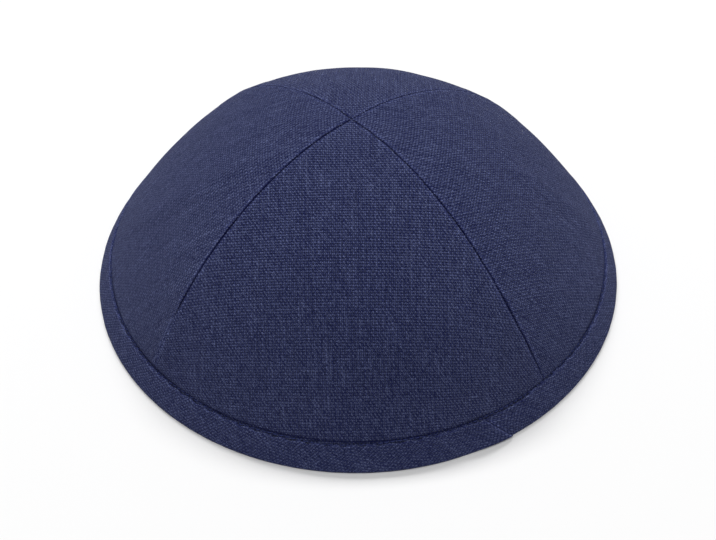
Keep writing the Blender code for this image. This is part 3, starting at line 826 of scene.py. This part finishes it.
def makeLinen(name, look):
    material = bpy.data.materials.new(name)
    material.use_nodes = True
    tree = material.node_tree
    shader = tree.nodes["Principled BSDF"]
    cloth = addNode(tree, "ShaderNodeUVMap", uv_map="cloth").outputs["UV"]
    turn = {"Vector": cloth, "Rotation": (0.0, 0.0, math.radians(look["turn"]))}
    turned = addNode(tree, "ShaderNodeMapping", turn).outputs[0]
    scale = (1.0 / linen["warpPitch"], 1.0 / linen["weftPitch"], 1.0)
    threads = addNode(tree, "ShaderNodeMapping", {"Vector": turned, "Scale": scale}).outputs[0]

    def times(first, second):
        return compute(tree, "MULTIPLY", first, second)

    def timesPlus(first, second, added):
        return compute(tree, "MULTIPLY_ADD", first, second, added)

    def noiseAt(place, scale, detail):
        inputs = {"Vector": place, "Scale": scale, "Detail": detail}
        return addNode(tree, "ShaderNodeTexNoise", inputs, noise_dimensions="2D").outputs["Fac"]

    def pair(first, second):
        return addNode(tree, "ShaderNodeCombineXYZ", {0: first, 1: second}).outputs[0]

    def uneven(value, source, amount, middle=0.5):
        return times(value, timesPlus(source, 2.0 * amount, 1.0 - 2.0 * amount * middle))

    # Courses of the threads, which drift from side to side
    split = addNode(tree, "ShaderNodeSeparateXYZ", {0: threads})
    plainX, plainY = split.outputs[0], split.outputs[1]
    across, along = linen["driftAcross"], linen["driftAlong"]
    driftX = noiseAt(pair(times(plainX, across), times(plainY, along)), 1.0, 1.0)
    driftY = noiseAt(pair(timesPlus(plainX, along, linen["driftSeed"]), times(plainY, across)), 1.0, 1.0)
    swingX, swingY = 2.0 * linen["warpDrift"], 2.0 * linen["weftDrift"]
    x = timesPlus(driftX, swingX, compute(tree, "ADD", plainX, -swingX / 2.0))
    y = timesPlus(driftY, swingY, compute(tree, "ADD", plainY, -swingY / 2.0))
    inRow = compute(tree, "SUBTRACT", compute(tree, "FRACT", y), 0.5)
    leaning = timesPlus(inRow, linen["slant"], x)

    # Plain weave: over is 1 where the warp crosses over and -1 where the weft does
    waveX = compute(tree, "SINE", times(leaning, math.pi))
    waveY = compute(tree, "SINE", times(y, math.pi))
    over = times(waveX, waveY)
    roundX = compute(tree, "POWER", compute(tree, "ABSOLUTE", waveX), linen["roundness"])
    roundY = compute(tree, "POWER", compute(tree, "ABSOLUTE", waveY), linen["roundness"])
    onTop = step(tree, over, *linen["crossing"])
    warpIndex, weftIndex = compute(tree, "FLOOR", leaning), compute(tree, "FLOOR", y)

    # What differs from float to float, from thread to thread and along a thread
    place = {"Vector": pair(warpIndex, weftIndex)}
    perFloat = addNode(tree, "ShaderNodeTexWhiteNoise", place, noise_dimensions="2D").outputs["Value"]

    def alongThread(index, distance, seed, rate):
        return noiseAt(pair(timesPlus(index, linen["seedSpacing"], seed), times(distance, rate)), 1.0, 1.0)

    warpTone = alongThread(warpIndex, y, linen["warpSeed"], linen["threadRate"])
    weftTone = alongThread(weftIndex, x, linen["weftSeed"], linen["threadRate"])
    warpSlub = alongThread(warpIndex, y, linen["warpSlubSeed"], linen["slubRate"])
    weftSlub = alongThread(weftIndex, x, linen["weftSlubSeed"], linen["slubRate"])
    warpSlub, weftSlub = step(tree, warpSlub, *linen["warpSlubs"]), step(tree, weftSlub, *linen["weftSlubs"])
    slub = blendValue(tree, onTop, weftSlub, warpSlub)
    fibre = noiseAt(threads, linen["fibreScale"], 1.0)

    # Height of the cloth, with the gaps between rows, columns and pairs of threads
    rowLine = compute(tree, "COSINE", times(y, 2.0 * math.pi))
    columnLine = compute(tree, "COSINE", times(leaning, 2.0 * math.pi))
    pairLine = compute(tree, "COSINE", times(x, math.pi))
    gaps = timesPlus(rowLine, -linen["rowGap"], 1.0)
    gaps = timesPlus(columnLine, -linen["columnGap"], gaps)
    gaps = timesPlus(pairLine, -linen["pairing"], gaps)
    height = times(blendValue(tree, onTop, times(roundY, linen["weftTone"]), roundX), gaps)

    # Brightness of the threads, from shadow to full colour
    bright = compute(tree, "POWER", height, linen["depth"])
    bright = uneven(bright, perFloat, linen["unevenFloats"])
    weftBright = uneven(bright, weftTone, linen["unevenWeft"])
    warpBright = uneven(bright, warpTone, linen["unevenWarp"])
    bright = blendValue(tree, onTop, weftBright, warpBright)
    bright = uneven(bright, fibre, linen["unevenFibres"])
    bright = uneven(bright, slub, linen["slubs"], 0.0)
    bright = blendValue(tree, look["calm"], bright, linen["evenTone"])
    # Painted shade: the threads darken beside a seam and in the ditch at the crown's foot and the binding's
    # lip
    seamPlace = addNode(tree, "ShaderNodeAttribute", attribute_name="seamDistance").outputs["Fac"]
    footPlace = addNode(tree, "ShaderNodeAttribute", attribute_name="footDistance").outputs["Fac"]
    seamShade = step(tree, seamPlace, 0.0, linen["seamShade"])
    footShade = step(tree, compute(tree, "ABSOLUTE", footPlace), 0.0, look["footShade"])
    paintedShade = timesPlus(times(seamShade, footShade), 1.0 - linen["ditchShade"], linen["ditchShade"])
    bright = compute(tree, "MULTIPLY", times(bright, paintedShade), linen["fill"], clamp=True)
    mix = {0: bright, 6: linen["shadow"], 7: linen["thread"]}
    woven = addNode(tree, "ShaderNodeMix", mix, data_type="RGBA")

    # Painted highlight on the rolled edges beside the seams and on the binding's edges, and a faint mottle
    paintedHighlight = times(step(tree, seamPlace, *linen["highlightNear"]), step(tree, seamPlace, *linen["highlightFar"]))
    shade = timesPlus(times(paintedHighlight, warpTone), look["edgeHighlight"], 1.0)
    mottle = noiseAt(cloth, linen["mottleScale"], 2.0)
    shade = times(shade, timesPlus(mottle, linen["mottle"], 1.0 - linen["mottle"] / 2.0))
    shade = times(shade, look["tone"])
    grey = addNode(tree, "ShaderNodeCombineColor", {0: shade, 1: shade, 2: shade})
    mix = {0: 1.0, 6: woven.outputs[2], 7: grey.outputs[0]}
    final = addNode(tree, "ShaderNodeMix", mix, data_type="RGBA", blend_type="MULTIPLY")
    tree.links.new(final.outputs[2], shader.inputs["Base Color"])

    raised = timesPlus(fibre, linen["fibreRelief"], timesPlus(slub, linen["slubRelief"], height))
    relieved = {"Strength": linen["bumpStrength"], "Distance": linen["relief"], "Height": raised}
    bump = addNode(tree, "ShaderNodeBump", relieved)
    tree.links.new(bump.outputs[0], shader.inputs["Normal"])
    shader.inputs["Roughness"].default_value = linen["roughness"]
    shader.inputs["Specular IOR Level"].default_value = linen["specular"]
    shader.inputs["Sheen Weight"].default_value = linen["sheen"]
    shader.inputs["Sheen Roughness"].default_value = linen["sheenRoughness"]
    shader.inputs["Sheen Tint"].default_value = linen["sheenTint"]
    return material


sewingThread = {
    "dark": (0.016, 0.022, 0.100, 1.0),
    "light": (0.070, 0.090, 0.260, 1.0),
    "twistScale": 5200.0,
    "bumpStrength": 0.5,
    "relief": 0.00004,
    "roughness": 0.55,
    "specular": 0.06,
}


def makeThread():
    material = bpy.data.materials.new("sewingThread")
    material.use_nodes = True
    tree = material.node_tree
    shader = tree.nodes["Principled BSDF"]
    place = addNode(tree, "ShaderNodeTexCoord").outputs["Object"]
    inputs = {"Vector": place, "Scale": sewingThread["twistScale"], "Detail": 2.0}
    twist = addNode(tree, "ShaderNodeTexNoise", inputs).outputs[0]
    mix = {0: twist, 6: sewingThread["dark"], 7: sewingThread["light"]}
    colour = addNode(tree, "ShaderNodeMix", mix, data_type="RGBA")
    tree.links.new(colour.outputs[2], shader.inputs["Base Color"])
    raised = {"Strength": sewingThread["bumpStrength"], "Distance": sewingThread["relief"], "Height": twist}
    bump = addNode(tree, "ShaderNodeBump", raised)
    tree.links.new(bump.outputs[0], shader.inputs["Normal"])
    shader.inputs["Roughness"].default_value = sewingThread["roughness"]
    shader.inputs["Specular IOR Level"].default_value = sewingThread["specular"]
    return material


# Stage, light and camera

view = {
    "distance": 0.3320,      # from the middle of the rim
    "elevation": 45.344,
    "azimuth": 3.4727,
    "pitch": -0.8404,        # of the lens away from the middle of the rim
    "roll": -0.7610,
    "lens": 51.086,
    "sensor": 36.0,
    "clipStart": 0.01,
}
stage = {
    "floorSize": 8.0,
    "floorColour": (0.90, 0.90, 0.90, 1.0),
    "floorRoughness": 0.9,
    "floorSpecular": 0.1,
    "worldColour": (1.0, 1.0, 1.0, 1.0),
    "worldStrength": 0.17,
    "lights": (
        # place, size and power in watts, each aimed at the cap
        {"name": "softboxBack", "place": (-0.24, 1.60, 2.03), "size": (2.4, 0.36), "power": 53.0},
        {"name": "softboxTop", "place": (0.10, -0.85, 2.75), "size": (1.6, 1.6), "power": 36.0},
    ),
}


def makeCamera():
    elevation, azimuth = math.radians(view["elevation"]), math.radians(view["azimuth"])
    level = math.cos(elevation)
    back = Vector((math.sin(azimuth) * level, -math.cos(azimuth) * level, math.sin(elevation)))
    right = Vector((math.cos(azimuth), math.sin(azimuth), 0.0))
    forward = -back
    up = right.cross(forward)
    aim = (forward + math.tan(math.radians(view["pitch"])) * up).normalized()
    upright = right.cross(aim)
    roll = math.radians(view["roll"])
    across = math.cos(roll) * right + math.sin(roll) * upright
    above = -math.sin(roll) * right + math.cos(roll) * upright
    lens = bpy.data.cameras.new("viewCamera")
    lens.sensor_fit = "HORIZONTAL"
    lens.sensor_width = view["sensor"]
    lens.lens = view["lens"]
    lens.clip_start = view["clipStart"]
    camera = bpy.data.objects.new("viewCamera", lens)
    turned = Matrix((across, above, -aim)).transposed().to_4x4()
    camera.matrix_world = Matrix.Translation(back * view["distance"]) @ turned
    bpy.context.scene.collection.objects.link(camera)
    bpy.context.scene.camera = camera
    print("camera set")


def makeStage():
    deselectAll()
    bpy.ops.mesh.primitive_plane_add(size=stage["floorSize"], location=(0.0, 0.0, 0.0))
    floor = bpy.context.object
    floor.name = "floor"
    paper = bpy.data.materials.new("paleFloor")
    paper.use_nodes = True
    surface = paper.node_tree.nodes["Principled BSDF"]
    surface.inputs["Base Color"].default_value = stage["floorColour"]
    surface.inputs["Roughness"].default_value = stage["floorRoughness"]
    surface.inputs["Specular IOR Level"].default_value = stage["floorSpecular"]
    floor.data.materials.append(paper)
    for row in stage["lights"]:
        lamp = bpy.data.lights.new(row["name"], "AREA")
        lamp.shape = "ELLIPSE"
        lamp.size, lamp.size_y = row["size"]
        lamp.energy = row["power"]
        holder = bpy.data.objects.new(row["name"], lamp)
        holder.location = row["place"]
        holder.rotation_euler = (-Vector(row["place"])).to_track_quat("-Z", "Y").to_euler()
        bpy.context.scene.collection.objects.link(holder)
    world = bpy.data.worlds.new("studio")
    world.use_nodes = True
    background = world.node_tree.nodes["Background"]
    background.inputs["Color"].default_value = stage["worldColour"]
    background.inputs["Strength"].default_value = stage["worldStrength"]
    bpy.context.scene.world = world
    bpy.context.scene.view_settings.view_transform = "Standard"
    print("stage and lights set")


makeCamera()
makeStage()
crownLinen = makeLinen("crownLinen", crownLook)
bindingLinen = makeLinen("bindingLinen", bindingLook)
makePanel("front", "frontLeft", "frontRight", crownLinen)
makePanel("right", "frontRight", "backRight", crownLinen)
makePanel("back", "backRight", "backLeft", crownLinen)
makePanel("left", "backLeft", "frontLeft", crownLinen)
makeBand(bindingLinen)
makeStitching(makeThread())
